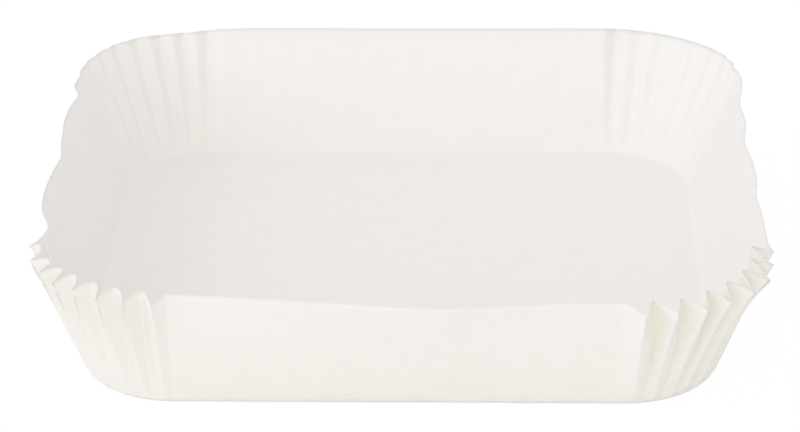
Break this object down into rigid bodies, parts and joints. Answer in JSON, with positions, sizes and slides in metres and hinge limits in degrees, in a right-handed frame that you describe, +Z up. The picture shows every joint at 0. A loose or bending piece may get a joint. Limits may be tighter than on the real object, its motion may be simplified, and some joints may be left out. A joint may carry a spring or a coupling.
{
  "type": "air fryer liner",
  "caption": "Square paper tray with a flat floor, flaring wall panels and pleated round corners, laid in a basket to catch fat and crumbs.",
  "frame": {"origin": "centre of the floor, on the surface that the tray stands on", "axes": "+Z up out of the tray; X along the front wall panel, with the front panel on the -Y side"},
  "size_m": [0.2025, 0.207, 0.038],
  "materials": {
    "paper": "matt white baking paper, smooth with a faint silk sheen"
  },
  "bodies": {
    "root": {"liner": "paper"}
  },
  "joints": []
}
